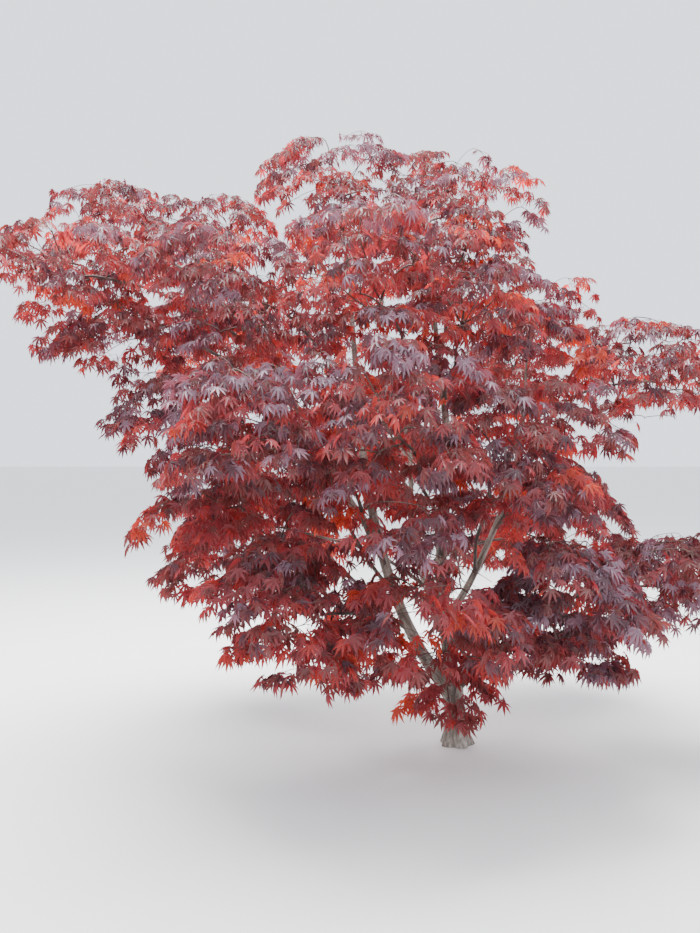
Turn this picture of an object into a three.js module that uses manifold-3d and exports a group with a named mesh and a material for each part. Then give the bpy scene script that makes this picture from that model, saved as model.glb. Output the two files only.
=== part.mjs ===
// A red-leaved garden maple with low forking stems and a wide crown of layered foliage.
// Millimetres, +Z up, standing on level ground with the middle of its foot at the origin.
import * as THREE from "three";
import { mergeVertices } from "three/addons/utils/BufferGeometryUtils.js";
import Module from "manifold-3d";

const wasm = await Module();
wasm.setup();

// Trunk: a short flared foot that forks a hand's length above the ground.
const trunk = {
  height: 300,
  lean: -18, // how far the fork stands to the left of the foot
  footRadius: 88,
  waistRadius: 62,
  topRadius: 50,
  flareHeight: 55, // over which most of the flare draws in
  buttresses: 5,
  buttressDepth: 0.13, // share of the radius
  domeStart: 0.8, // share of the height from which the top rounds over
  domeDepth: 0.6,
  sides: 20,
  steps: 9,
};

// Limbs thicken with the foliage that they carry.
const limb = {
  radiusPerLoad: 10.4, // radius in mm of a limb that carries one mass of foliage
  tipShare: 0.62, // tip radius as a share of the radius of a limb with one mass
  taper: 0.85, // power of the taper, under 1 for a limb that stays thick for longer
  entersMass: 0.62, // where its tip is, as a share of the way out from the mass's middle
  bend: 0.36, // how long each end keeps its slope, as a share of the limb's length
  wander: 0.028, // sideways bends, as a share of the same
  turns: [2, 3.5], // how many half-waves these make
  sides: 6,
  spacing: 230, // length of one step along a limb
  leastSteps: 3,
};

// Foliage: each spray is a twig that ends in one blade, cut to the outline of three lobed leaves.
const foliage = {
  sprays: 8, // in a mass of ordinary size
  ordinarySize: 430, // long and wide half-size of such a mass
  coverage: 1.72, // blade radius against the spacing of the sprays
  sizes: [1, 0.9, 0.8, 0.7, 0.6, 0.5], // shares of that radius, the first that has room is taken
  spread: 0.68, // how far out the outermost blade's hub is, as a share of the mass's half-size
  domeRise: 0.8, // height of the upper sprays over the mass's middle, as a share of its half-thickness
  domeFall: 0.6, // how much lower the dome is at its rim
  underRise: -0.36, // height of every third spray, which hangs under the others
  outwardBias: 0.25, // how far all blades lean away from the trunk
  innerFall: 0.35, // slope of the middle blades, fall over run
  outerFall: 1.2, // and of the outermost ones
  thickness: 9,
  droop: 0.25, // fall of a blade's lobes as a share of its radius
  jitter: { rise: 0.2, fall: 0.4, roll: 0.5 }, // whole spread of the chance changes
  stemEnd: 0.95, // how far the stem runs to the mass's middle
  stemSink: 0.1, // how far under the middle it ends, as a share of the half-thickness
  stemJoints: [0.3, 0.5, 0.7, 0.9], // where twigs may leave it
  stemSides: 4,
  stemRadius: 9,
  stemTaper: 0.78,
  twigRadius: 4.6, // at most
  twigShare: 0.66, // of the radius of what the twig springs from, so that its root is all inside
  twigTaper: 0.6,
  fork: 0.4, // where a twig may fork again, as a share of its length
  rootShare: 0.15, // part of a twig's length that lies at its joint
  pathCost: 0.35, // how much a joint far along the twigs is shunned, against one far away
};
// Outline of a blade round its hub: leaves turned to each side, each with a tip and two side lobes.
const blade = {
  base: 0.22, // shares of the blade's radius
  leaves: [{ turn: -61, reach: 0.9 }, { turn: 0, reach: 1 }, { turn: 61, reach: 0.9 }],
  lobeTurn: 20,
  lobeReach: 0.88, // share of the leaf's reach
  notchReach: 0.62,
  partingReach: 0.38, // between two leaves
};
const gap = 0.3; // between pieces that touch
const clearance = 3; // between a blade or twig and a limb or another mass
const finest = 0.03; // detail that joined solids keep

// One row for each limb and the mass of foliage at its tip, in mm: side is to the right, back is
// away from the street, up is height, all of the mass's middle; long, wide and thick are half-sizes.
// leave and arrive are the limb's slopes in degrees at its root and its tip.
const rows = [
  { name: "left_leader", from: "trunk", at: 0.8, leave: 50, arrive: 82,
    side: -600, back: -60, up: 2760, long: 460, wide: 480, thick: 310 },
  { name: "centre_leader", from: "trunk", at: 0.82, leave: 84, arrive: 84,
    side: -150, back: 90, up: 2740, long: 460, wide: 500, thick: 300 },
  { name: "right_leader", from: "centre_leader", at: 0.16, leave: 48, arrive: 86,
    side: 390, back: 140, up: 2150, long: 420, wide: 430, thick: 310 },
  { name: "back_leader", from: "centre_leader", at: 0.09, leave: 58, arrive: 84,
    side: -360, back: 760, up: 2620, long: 500, wide: 520, thick: 320 },
  { name: "right_low", from: "trunk", at: 0.9, leave: 42, arrive: 6,
    side: 1130, back: -230, up: 850, long: 660, wide: 520, thick: 280 },
  { name: "front_low", from: "trunk", at: 0.62, leave: 40, arrive: 8,
    side: -230, back: -1080, up: 920, long: 480, wide: 490, thick: 400 },
  { name: "left_low", from: "left_leader", at: 0.17, leave: 30, arrive: 10,
    side: -1090, back: -420, up: 1080, long: 520, wide: 470, thick: 330 },
  { name: "front_left_low", from: "left_leader", at: 0.09, leave: 30, arrive: 4,
    side: -760, back: -880, up: 800, long: 470, wide: 470, thick: 350 },
  { name: "left_low_mid", from: "left_leader", at: 0.26, leave: 45, arrive: 12,
    side: -1270, back: -250, up: 1580, long: 520, wide: 500, thick: 330 },
  { name: "left_high", from: "left_leader", at: 0.38, leave: 50, arrive: 24,
    side: -1810, back: 220, up: 2640, long: 440, wide: 470, thick: 270 },
  { name: "left_mid_high", from: "left_high", at: 0.42, leave: 62, arrive: 44,
    side: -1300, back: 60, up: 2570, long: 420, wide: 470, thick: 280 },
  { name: "left_mid", from: "left_high", at: 0.26, leave: 40, arrive: 2,
    side: -1730, back: -60, up: 2060, long: 440, wide: 460, thick: 270 },
  { name: "left_tip", from: "left_high", at: 0.52, leave: 38, arrive: 6,
    side: -1920, back: -360, up: 2330, long: 460, wide: 440, thick: 270 },
  { name: "front_left_high", from: "left_leader", at: 0.52, leave: 48, arrive: 14,
    side: -1090, back: -600, up: 2200, long: 460, wide: 480, thick: 310 },
  { name: "front_left_mid", from: "left_leader", at: 0.32, leave: 45, arrive: 10,
    side: -920, back: -980, up: 1530, long: 500, wide: 500, thick: 340 },
  { name: "back_left_high", from: "left_leader", at: 0.46, leave: 48, arrive: 16,
    side: -1230, back: 800, up: 2080, long: 560, wide: 560, thick: 340 },
  { name: "front_high", from: "centre_leader", at: 0.52, leave: 52, arrive: 20,
    side: -520, back: -760, up: 2210, long: 450, wide: 460, thick: 350 },
  { name: "front_right_high", from: "centre_leader", at: 0.66, leave: 54, arrive: 36,
    side: -30, back: -560, up: 2190, long: 450, wide: 450, thick: 350 },
  { name: "top_right", from: "centre_leader", at: 0.76, leave: 56, arrive: 50,
    side: 70, back: -150, up: 2610, long: 360, wide: 400, thick: 270 },
  { name: "front_mid", from: "centre_leader", at: 0.3, leave: 50, arrive: 12,
    side: -400, back: -1110, up: 1580, long: 490, wide: 480, thick: 390 },
  { name: "front_right_mid", from: "right_leader", at: 0.2, leave: 52, arrive: 12,
    side: 180, back: -820, up: 1470, long: 490, wide: 500, thick: 360 },
  { name: "right_mid", from: "right_leader", at: 0.38, leave: 46, arrive: 10,
    side: 1060, back: -60, up: 1870, long: 650, wide: 520, thick: 310 },
  { name: "back_right_high", from: "right_leader", at: 0.5, leave: 48, arrive: 22,
    side: 500, back: 820, up: 2020, long: 560, wide: 560, thick: 340 },
  { name: "back_mid", from: "back_leader", at: 0.34, leave: 46, arrive: 10,
    side: -330, back: 1320, up: 1600, long: 540, wide: 580, thick: 360 },
  { name: "back_left_low", from: "back_leader", at: 0.16, leave: 36, arrive: 6,
    side: -1100, back: 860, up: 1060, long: 560, wide: 560, thick: 350 },
  { name: "back_right_low", from: "back_leader", at: 0.2, leave: 38, arrive: 6,
    side: 640, back: 960, up: 1040, long: 580, wide: 580, thick: 330 },
  { name: "right_foot", from: "right_low", at: 0.2, leave: 20, arrive: 0,
    side: 480, back: -540, up: 590, long: 380, wide: 320, thick: 180 },
  { name: "front_right_low", from: "right_low", at: 0.1, leave: 40, arrive: 8,
    side: 350, back: -850, up: 860, long: 470, wide: 470, thick: 280 },
];
// A low spray of shoots that springs straight from the trunk.
const footShoots = {
  name: "foot_front", at: 0.4, side: -90, back: -400, up: 370, long: 270, wide: 240, thick: 220,
};

const bark = { color: 0x8c8577, roughness: 0.9, metalness: 0 };
const leafColours = [
  { color: 0x51323f, roughness: 0.5, metalness: 0 }, // purple
  { color: 0x94343b, roughness: 0.55, metalness: 0 }, // crimson
  { color: 0x6f303c, roughness: 0.5, metalness: 0 }, // burgundy
  { color: 0xc0403a, roughness: 0.55, metalness: 0 }, // scarlet
];

const goldenAngle = Math.PI * (3 - Math.sqrt(5));
const upright = new THREE.Vector3(0, 0, 1);
const geometryAxis = new THREE.Vector3(0, 1, 0); // a cylinder's own axis
const radians = THREE.MathUtils.degToRad;

// A seeded stream of numbers from 0 to 1.
function chances(seed) {
  let state = seed >>> 0;
  return () => {
    state = (state + 0x6d2b79f5) >>> 0;
    let t = state;
    t = Math.imul(t ^ (t >>> 15), t | 1);
    t ^= t + Math.imul(t ^ (t >>> 7), t | 61);
    return ((t ^ (t >>> 14)) >>> 0) / 4294967296;
  };
}

function middleOf(row) {
  return new THREE.Vector3(row.side, row.back, row.up);
}

// The level direction from the trunk towards a mass, and the one to its left.
function outwardOf(row) {
  const outward = new THREE.Vector3(row.side, row.back, 0).normalize();
  return { outward, across: new THREE.Vector3().crossVectors(upright, outward) };
}

function slope(level, degrees) {
  return level.clone().multiplyScalar(Math.cos(radians(degrees)))
    .addScaledVector(upright, Math.sin(radians(degrees)));
}

// How far a mass's space reaches from its middle in a direction.
function reachOf(row, direction) {
  const { outward, across } = outwardOf(row);
  return 1 / Math.hypot(
    direction.dot(outward) / row.long,
    direction.dot(across) / row.wide,
    direction.z / row.thick,
  );
}

// Half the width of a mass's space between two planes square to a direction.
function extentOf(row, direction) {
  const { outward, across } = outwardOf(row);
  return Math.hypot(
    direction.dot(outward) * row.long,
    direction.dot(across) * row.wide,
    direction.z * row.thick,
  );
}

// The middle line of a limb: a Bezier curve from its root to its tip that wanders a little.
class LimbLine extends THREE.Curve {
  constructor(root, tip, leave, arrive, seed) {
    super();
    const span = root.distanceTo(tip);
    const level = new THREE.Vector3().subVectors(tip, root).setZ(0).normalize();
    this.bezier = new THREE.CubicBezierCurve3(
      root,
      root.clone().addScaledVector(slope(level, leave), span * limb.bend),
      tip.clone().addScaledVector(slope(level, arrive), -span * limb.bend),
      tip,
    );
    const chance = chances(seed);
    this.side = new THREE.Vector3().crossVectors(upright, level);
    this.sway = span * limb.wander * (chance() < 0.5 ? -1 : 1);
    this.turns = THREE.MathUtils.lerp(...limb.turns, chance());
  }

  getPoint(t, target = new THREE.Vector3()) {
    const sway = this.sway * Math.sin(Math.PI * t) * Math.sin(Math.PI * this.turns * t);
    return target.copy(this.bezier.getPoint(t)).addScaledVector(this.side, sway);
  }
}

// A closed tube along a line, from a cylinder whose rings are moved on to the line. Its far end may
// run over the line's.
function tube(line, radiusAt, sides, steps, overrun) {
  const geometry = new THREE.CylinderGeometry(1, 1, 1, sides, steps);
  const { normals, binormals } = line.computeFrenetFrames(steps);
  const places = geometry.getAttribute("position");
  const spot = new THREE.Vector3();
  for (let i = 0; i < places.count; i++) {
    spot.fromBufferAttribute(places, i);
    const step = Math.round((spot.y + 0.5) * steps);
    const t = step / steps;
    const angle = Math.atan2(spot.z, spot.x);
    const radius = radiusAt(t, angle) * Math.hypot(spot.x, spot.z);
    const place = line.getPoint(t)
      .addScaledVector(normals[step], radius * Math.cos(angle))
      .addScaledVector(binormals[step], -radius * Math.sin(angle))
      .addScaledVector(line.getTangent(1), step === steps ? overrun : 0);
    places.setXYZ(i, place.x, place.y, place.z);
  }
  return geometry;
}

function solidFrom(geometry) {
  const bare = geometry.clone();
  bare.deleteAttribute("normal");
  bare.deleteAttribute("uv");
  const merged = mergeVertices(bare, 1e-3);
  const solid = new wasm.Manifold(new wasm.Mesh({
    numProp: 3,
    vertProperties: merged.getAttribute("position").array,
    triVerts: new Uint32Array(merged.index.array),
  }));
  return solid;
}

// The largest body of a solid, with hollows filled, loose scraps dropped and level faces made whole.
function mainBody(solid) {
  const largest = (whole) => whole.decompose().sort((a, b) => b.volume() - a.volume())[0];
  return largest(largest(solid).asOriginal().simplify(finest));
}

function meshFrom(name, solid, root, finish) {
  const { numProp, numVert, vertProperties, triVerts } = solid.getMesh();
  const places = new Float32Array(numVert * 3);
  for (let i = 0; i < numVert; i++)
    places.set(vertProperties.subarray(i * numProp, i * numProp + 3), i * 3);
  const geometry = new THREE.BufferGeometry()
    .setAttribute("position", new THREE.BufferAttribute(places, 3))
    .setIndex(new THREE.BufferAttribute(new Uint32Array(triVerts), 1))
    .translate(-root.x, -root.y, -root.z);
  geometry.computeVertexNormals();
  const mesh = new THREE.Mesh(geometry, new THREE.MeshStandardMaterial(finish));
  mesh.name = name;
  mesh.position.copy(root);
  return mesh;
}

// Trunk: lobed where the roots spread, drawn in at the waist and rounded over at the fork.
const trunkLine = new THREE.LineCurve3(
  new THREE.Vector3(0, 0, 0),
  new THREE.Vector3(trunk.lean, 0, trunk.height),
);
function trunkRadius(t, angle) {
  const height = t * trunk.height;
  const flare = Math.exp(-height / trunk.flareHeight);
  const lobes = 1 + trunk.buttressDepth * flare * Math.cos(trunk.buttresses * angle);
  const overDome = Math.max((t - trunk.domeStart) / (1 - trunk.domeStart), 0);
  const dome = Math.sqrt(1 - trunk.domeDepth * overDome ** 2);
  const taper = THREE.MathUtils.lerp(trunk.waistRadius, trunk.topRadius, t);
  return (taper + (trunk.footRadius - trunk.waistRadius) * flare) * lobes * dome;
}
function trunkSolid(extra) {
  const radiusAt = (t, angle) => trunkRadius(t, angle) + extra;
  const level = tube(trunkLine, radiusAt, trunk.sides, trunk.steps, extra);
  const places = level.getAttribute("position");
  for (let i = 0; i < places.count; i++) // the line leans, so its lowest ring is laid level again
    if (places.getZ(i) < trunk.height / trunk.steps / 2) places.setZ(i, 0);
  return solidFrom(level);
}

// Limbs: each row's line and its radius along the line.
const byName = new Map(rows.map((row) => [row.name, row]));
const loadOf = (name) =>
  rows.filter((row) => row.from === name)
    .reduce((sum, row) => sum + loadOf(row.name), name === "trunk" ? 0 : 1);

rows.forEach((row, index) => {
  const parentLine = row.from === "trunk" ? trunkLine : byName.get(row.from).line;
  const { outward } = outwardOf(row);
  row.aim = slope(outward, row.arrive);
  row.tip = middleOf(row).addScaledVector(row.aim, -limb.entersMass * reachOf(row, row.aim));
  const root = parentLine.getPoint(row.at);
  row.line = new LimbLine(root, row.tip, row.leave, row.arrive, index + 1);
  row.length = row.line.getLength();
  row.rootRadius = limb.radiusPerLoad * Math.sqrt(loadOf(row.name));
  row.tipRadius = limb.radiusPerLoad * limb.tipShare;
  row.radiusAt = (t) => row.tipRadius + (row.rootRadius - row.tipRadius) * (1 - t) ** limb.taper;
  row.steps = Math.max(limb.leastSteps, Math.round(row.length / limb.spacing));
});

function limbSolid(row, extra) {
  return solidFrom(tube(row.line, (t) => row.radiusAt(t) + extra, limb.sides, row.steps, extra));
}

const trunkBody = trunkSolid(0);
const cutTrunk = trunkSolid(gap);
const limbBodies = new Map();
for (const row of rows) {
  let solid = limbSolid(row, 0).subtract(cutTrunk);
  for (const name of limbBodies.keys()) solid = solid.subtract(limbSolid(byName.get(name), gap));
  limbBodies.set(row.name, mainBody(solid));
}

// All the wood with room round it, which foliage keeps out of.
const roomyWood = rows.reduce((sum, row) => sum.add(limbSolid(row, clearance)), trunkSolid(clearance));

// A mass's space is its ellipsoid, cut by a plane between it and each other mass.
const masses = [...rows, footShoots];
function inSpace(row, point) {
  const middle = middleOf(row);
  const offset = new THREE.Vector3().subVectors(point, middle);
  const { outward, across } = outwardOf(row);
  const inside = Math.hypot(
    offset.dot(outward) / row.long,
    offset.dot(across) / row.wide,
    offset.z / row.thick,
  );
  if (inside > 1) return false;
  return masses.every((other) => {
    if (other === row) return true;
    const apart = new THREE.Vector3().subVectors(middleOf(other), middle);
    const distance = apart.length();
    apart.divideScalar(distance);
    const mine = extentOf(row, apart);
    const theirs = extentOf(other, apart);
    if (mine + theirs < distance) return true;
    return offset.dot(apart) < (distance * mine) / (mine + theirs) - clearance;
  });
}

// A blade's corners in its own plane, counter-clockwise from its base: x forward, y to the left.
function bladeOutline() {
  const hub = new THREE.Vector2();
  const corner = (turn, reach) => new THREE.Vector2(reach, 0).rotateAround(hub, radians(turn));
  const outline = [corner(180, blade.base)];
  blade.leaves.forEach(({ turn, reach }, i) => {
    if (i) outline.push(corner((turn + blade.leaves[i - 1].turn) / 2, blade.partingReach));
    for (const side of [-1, -0.5, 0, 0.5, 1]) {
      const share = side === 0 ? 1 : Math.abs(side) === 1 ? blade.lobeReach : blade.notchReach;
      outline.push(corner(turn + side * blade.lobeTurn, reach * share));
    }
  });
  return outline;
}
const outline = bladeOutline();

// Where a mass's blades have their hubs and how they face: two of three over its dome, the third
// under it.
function spraysOf(row, chance) {
  const { outward, across } = outwardOf(row);
  const count = Math.round((foliage.sprays * row.long * row.wide) / foliage.ordinarySize ** 2);
  const radius = foliage.coverage * Math.sqrt((row.long * row.wide) / count);
  const domeAt = (out) => foliage.domeRise * Math.sqrt(1 - foliage.domeFall * out ** 2);
  const shift = (spread) => spread * (chance() - 0.5);
  return Array.from({ length: count }, (_, i) => {
    const out = Math.sqrt((i + 0.5) / count);
    const angle = (count - 1 - i) * goldenAngle; // the outermost one points away from the trunk
    const rise = i % 3 === 2 ? foliage.underRise : domeAt(out);
    const hub = middleOf(row)
      .addScaledVector(outward, row.long * foliage.spread * out * Math.cos(angle))
      .addScaledVector(across, row.wide * foliage.spread * out * Math.sin(angle))
      .addScaledVector(upright, row.thick * (rise + shift(foliage.jitter.rise)));
    const fall = THREE.MathUtils.lerp(foliage.innerFall, foliage.outerFall, out ** 2);
    const forward = outward.clone().multiplyScalar(Math.cos(angle) + foliage.outwardBias)
      .addScaledVector(across, Math.sin(angle)).setLength(1)
      .addScaledVector(upright, shift(foliage.jitter.fall) - fall).normalize();
    const left = new THREE.Vector3().crossVectors(upright, forward).setLength(1)
      .addScaledVector(upright, shift(foliage.jitter.roll)).normalize();
    const up = new THREE.Vector3().crossVectors(forward, left).normalize();
    return { hub, forward, left, up, radius };
  });
}

function bladeBase({ hub, forward, radius }) {
  return hub.clone().addScaledVector(forward, -blade.base * radius);
}

// A blade's corners in space, the far ones drooping.
function bladeCorners({ hub, forward, left, up, radius }) {
  return outline.map(({ x, y }, i) => hub.clone()
    .addScaledVector(forward, x * radius)
    .addScaledVector(left, y * radius)
    .addScaledVector(up, i ? -foliage.droop * radius * (x ** 2 + y ** 2) : 0));
}

function bladeSolid(spray) {
  const corners = bladeCorners(spray);
  const half = spray.up.clone().multiplyScalar(foliage.thickness / 2);
  const points = [spray.hub.clone().add(half), spray.hub.clone().sub(half), ...corners];
  const faces = corners.flatMap((_, i) => {
    const a = 2 + i;
    const b = 2 + ((i + 1) % corners.length);
    return [0, a, b, 1, b, a];
  });
  return solidFrom(new THREE.BufferGeometry().setFromPoints(points).setIndex(faces));
}

// A twig between two points.
function twigSolid(start, end, startRadius, endRadius, sides = 3) {
  const along = new THREE.Vector3().subVectors(end, start);
  const length = along.length();
  const geometry = new THREE.CylinderGeometry(endRadius, startRadius, length, sides, 1);
  geometry.translate(0, length / 2, 0);
  geometry.applyQuaternion(new THREE.Quaternion().setFromUnitVectors(geometryAxis, along.normalize()));
  geometry.translate(start.x, start.y, start.z);
  return solidFrom(geometry);
}

// Grows one mass from its root. Each spray's twig leaves the stem or an earlier twig, and what has
// no room is skipped.
function growMass(row, root, seed) {
  const sprays = spraysOf(row, chances(seed))
    .sort((a, b) => a.hub.distanceTo(root) - b.hub.distanceTo(root));
  const under = middleOf(row).addScaledVector(upright, -foliage.stemSink * row.thick);
  const heart = root.clone().lerp(under, foliage.stemEnd);
  const joints = foliage.stemJoints.map((share) => {
    const place = root.clone().lerp(heart, share);
    const radius = foliage.stemRadius * THREE.MathUtils.lerp(1, foliage.stemTaper, share);
    return { place, radius, path: root.distanceTo(place) };
  });
  const tipRadius = foliage.stemRadius * foliage.stemTaper;
  let solid = twigSolid(root, heart, foliage.stemRadius, tipRadius, foliage.stemSides);
  for (const spray of sprays) {
    const cost = (joint) => joint.place.distanceTo(spray.hub) + foliage.pathCost * joint.path;
    const found = joints.toSorted((a, b) => cost(a) - cost(b))
      .map((joint) => fitSpray(row, spray, joint, solid))
      .find((fit) => fit);
    if (!found) continue;
    solid = solid.add(found.twig).add(found.body);
    joints.push(found.joint);
  }
  return solid;
}

// A spray's twig from one joint and the largest blade that keeps to its mass's space, clear of the
// limbs and of the mass so far, or nothing.
function fitSpray(row, spray, joint, solid) {
  const radius = Math.min(joint.radius * foliage.twigShare, foliage.twigRadius);
  const isFree = (piece) => piece.intersect(solid).isEmpty() && piece.intersect(roomyWood).isEmpty();
  for (const share of foliage.sizes) {
    const sized = { ...spray, radius: spray.radius * share };
    const body = bladeCorners(sized).every((corner) => inSpace(row, corner)) && bladeSolid(sized);
    if (!body || !isFree(body)) continue;
    const end = bladeBase(sized).lerp(spray.hub, 0.5);
    const away = joint.place.clone().lerp(end, foliage.rootShare);
    if (!isFree(twigSolid(away, end, radius, radius * foliage.twigTaper))) return null;
    const place = joint.place.clone().lerp(end, foliage.fork);
    const next = {
      place,
      radius: radius * THREE.MathUtils.lerp(1, foliage.twigTaper, foliage.fork),
      path: joint.path + joint.place.distanceTo(place),
    };
    return { twig: twigSolid(joint.place, end, radius, radius * foliage.twigTaper), body, joint: next };
  }
  return null;
}

const tree = new THREE.Group();
tree.add(meshFrom("trunk", trunkBody, new THREE.Vector3(), bark));
rows.forEach((row, index) => {
  tree.add(meshFrom("bough_" + row.name, limbBodies.get(row.name), row.line.getPoint(0), bark));
  const mass = growMass(row, row.tip, 100 + index).subtract(limbSolid(row, gap));
  const finish = leafColours[index % leafColours.length];
  tree.add(meshFrom("leaves_" + row.name, mainBody(mass), row.tip, finish));
});

// The foot's shoots spring from inside the trunk's outline and are cut clear of it.
const footRoot = trunkLine.getPoint(footShoots.at);
const footMass = growMass(footShoots, footRoot, 200).subtract(cutTrunk);
tree.add(meshFrom("leaves_" + footShoots.name, mainBody(footMass), footRoot, leafColours[1]));

export default tree;
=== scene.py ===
import math
import bpy
import numpy as np
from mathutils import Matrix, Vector, kdtree, noise


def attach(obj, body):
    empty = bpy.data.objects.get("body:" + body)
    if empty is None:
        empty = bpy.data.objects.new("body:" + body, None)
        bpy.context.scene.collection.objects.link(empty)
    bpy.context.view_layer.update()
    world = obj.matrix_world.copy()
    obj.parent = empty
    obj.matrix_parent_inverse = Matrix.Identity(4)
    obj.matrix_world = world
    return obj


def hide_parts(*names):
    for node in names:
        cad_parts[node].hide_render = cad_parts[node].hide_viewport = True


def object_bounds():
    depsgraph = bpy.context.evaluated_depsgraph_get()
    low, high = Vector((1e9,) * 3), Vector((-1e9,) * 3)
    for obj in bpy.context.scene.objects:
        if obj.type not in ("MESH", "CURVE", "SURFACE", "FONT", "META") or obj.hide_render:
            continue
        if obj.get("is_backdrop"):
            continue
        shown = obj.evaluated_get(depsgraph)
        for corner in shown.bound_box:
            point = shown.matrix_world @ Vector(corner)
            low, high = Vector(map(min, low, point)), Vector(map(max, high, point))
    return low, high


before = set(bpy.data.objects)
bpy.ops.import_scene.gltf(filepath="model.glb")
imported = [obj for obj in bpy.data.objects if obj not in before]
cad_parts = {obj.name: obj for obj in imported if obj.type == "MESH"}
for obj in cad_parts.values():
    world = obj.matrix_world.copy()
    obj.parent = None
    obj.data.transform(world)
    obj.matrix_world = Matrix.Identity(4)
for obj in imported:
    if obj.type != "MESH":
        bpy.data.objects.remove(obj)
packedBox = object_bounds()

# A red-leaved garden maple: bark over the trunk and boughs, then twigs, stalks and lobed leaves
# that grow on from the boughs' tips. Metres, +Z up, the front is seen from -Y.

upright = np.array([0.0, 0.0, 1.0])
goldenAngle = math.pi * (3 - math.sqrt(5))

# Each limb and the mass of foliage at its tip: what it springs from and how far along that, its
# slopes in degrees at root and tip, then the mass's middle and its half-sizes, long, wide and thick.
crown = {
    "left_leader": ("trunk", 0.8, 50, 82, (-0.6, -0.06, 2.76), (0.46, 0.48, 0.31)),
    "centre_leader": ("trunk", 0.82, 84, 84, (-0.15, 0.09, 2.74), (0.46, 0.5, 0.3)),
    "right_leader": ("centre_leader", 0.16, 48, 86, (0.39, 0.14, 2.15), (0.42, 0.43, 0.31)),
    "back_leader": ("centre_leader", 0.09, 58, 84, (-0.36, 0.76, 2.62), (0.5, 0.52, 0.32)),
    "right_low": ("trunk", 0.9, 42, 6, (1.13, -0.23, 0.85), (0.66, 0.52, 0.28)),
    "front_low": ("trunk", 0.62, 40, 8, (-0.23, -1.08, 0.92), (0.48, 0.49, 0.4)),
    "left_low": ("left_leader", 0.17, 30, 10, (-1.09, -0.42, 1.08), (0.52, 0.47, 0.33)),
    "front_left_low": ("left_leader", 0.09, 30, 4, (-0.76, -0.88, 0.8), (0.47, 0.47, 0.35)),
    "left_low_mid": ("left_leader", 0.26, 45, 12, (-1.27, -0.25, 1.58), (0.52, 0.5, 0.33)),
    "left_high": ("left_leader", 0.38, 50, 24, (-1.81, 0.22, 2.64), (0.44, 0.47, 0.27)),
    "left_mid_high": ("left_high", 0.42, 62, 44, (-1.3, 0.06, 2.57), (0.42, 0.47, 0.28)),
    "left_mid": ("left_high", 0.26, 40, 2, (-1.73, -0.06, 2.06), (0.44, 0.46, 0.27)),
    "left_tip": ("left_high", 0.52, 38, 6, (-1.92, -0.36, 2.33), (0.46, 0.44, 0.27)),
    "front_left_high": ("left_leader", 0.52, 48, 14, (-1.09, -0.6, 2.2), (0.46, 0.48, 0.31)),
    "front_left_mid": ("left_leader", 0.32, 45, 10, (-0.92, -0.98, 1.53), (0.5, 0.5, 0.34)),
    "back_left_high": ("left_leader", 0.46, 48, 16, (-1.23, 0.8, 2.08), (0.56, 0.56, 0.34)),
    "front_high": ("centre_leader", 0.52, 52, 20, (-0.52, -0.76, 2.21), (0.45, 0.46, 0.35)),
    "front_right_high": ("centre_leader", 0.66, 54, 36, (-0.03, -0.56, 2.19), (0.45, 0.45, 0.35)),
    "top_right": ("centre_leader", 0.76, 56, 50, (0.07, -0.15, 2.61), (0.36, 0.4, 0.27)),
    "front_mid": ("centre_leader", 0.3, 50, 12, (-0.4, -1.11, 1.58), (0.49, 0.48, 0.39)),
    "front_right_mid": ("right_leader", 0.2, 52, 12, (0.18, -0.82, 1.47), (0.49, 0.5, 0.36)),
    "right_mid": ("right_leader", 0.38, 46, 10, (1.06, -0.06, 1.87), (0.65, 0.52, 0.31)),
    "back_right_high": ("right_leader", 0.5, 48, 22, (0.5, 0.82, 2.02), (0.56, 0.56, 0.34)),
    "back_mid": ("back_leader", 0.34, 46, 10, (-0.33, 1.32, 1.6), (0.54, 0.58, 0.36)),
    "back_left_low": ("back_leader", 0.16, 36, 6, (-1.1, 0.86, 1.06), (0.56, 0.56, 0.35)),
    "back_right_low": ("back_leader", 0.2, 38, 6, (0.64, 0.96, 1.04), (0.58, 0.58, 0.33)),
    "right_foot": ("right_low", 0.2, 20, 0, (0.48, -0.54, 0.59), (0.38, 0.32, 0.18)),
    "front_right_low": ("right_low", 0.1, 40, 8, (0.35, -0.85, 0.86), (0.47, 0.47, 0.28)),
}
# Shoots low on the trunk: how far up they spring, and their middle and half-sizes.
footShoots = ("foot_front", 0.4, (-0.09, -0.4, 0.37), (0.27, 0.24, 0.22))

spaces = {name: (np.array(row[4]), np.array(row[5])) for name, row in crown.items()}
spaces[footShoots[0]] = (np.array(footShoots[2]), np.array(footShoots[3]))


def unit(v):
    return v / np.linalg.norm(v, axis=-1, keepdims=True)


def mixed(a, b, share):
    return a + (b - a) * share


def chances(seed):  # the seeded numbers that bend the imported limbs
    mask = 0xffffffff
    state = seed
    while True:
        state = (state + 0x6d2b79f5) & mask
        t = ((state ^ (state >> 15)) * (state | 1)) & mask
        t ^= (t + ((t ^ (t >> 7)) * (t | 61))) & mask
        yield (t ^ (t >> 14)) / (mask + 1)


def slope(level, degrees):
    return level * math.cos(math.radians(degrees)) + upright * math.sin(math.radians(degrees))


def levelAxes(middle):  # from the trunk out to a mass, and to its left
    outward = unit(np.array([middle[0], middle[1], 0.0]))
    return outward, np.cross(upright, outward)


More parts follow.
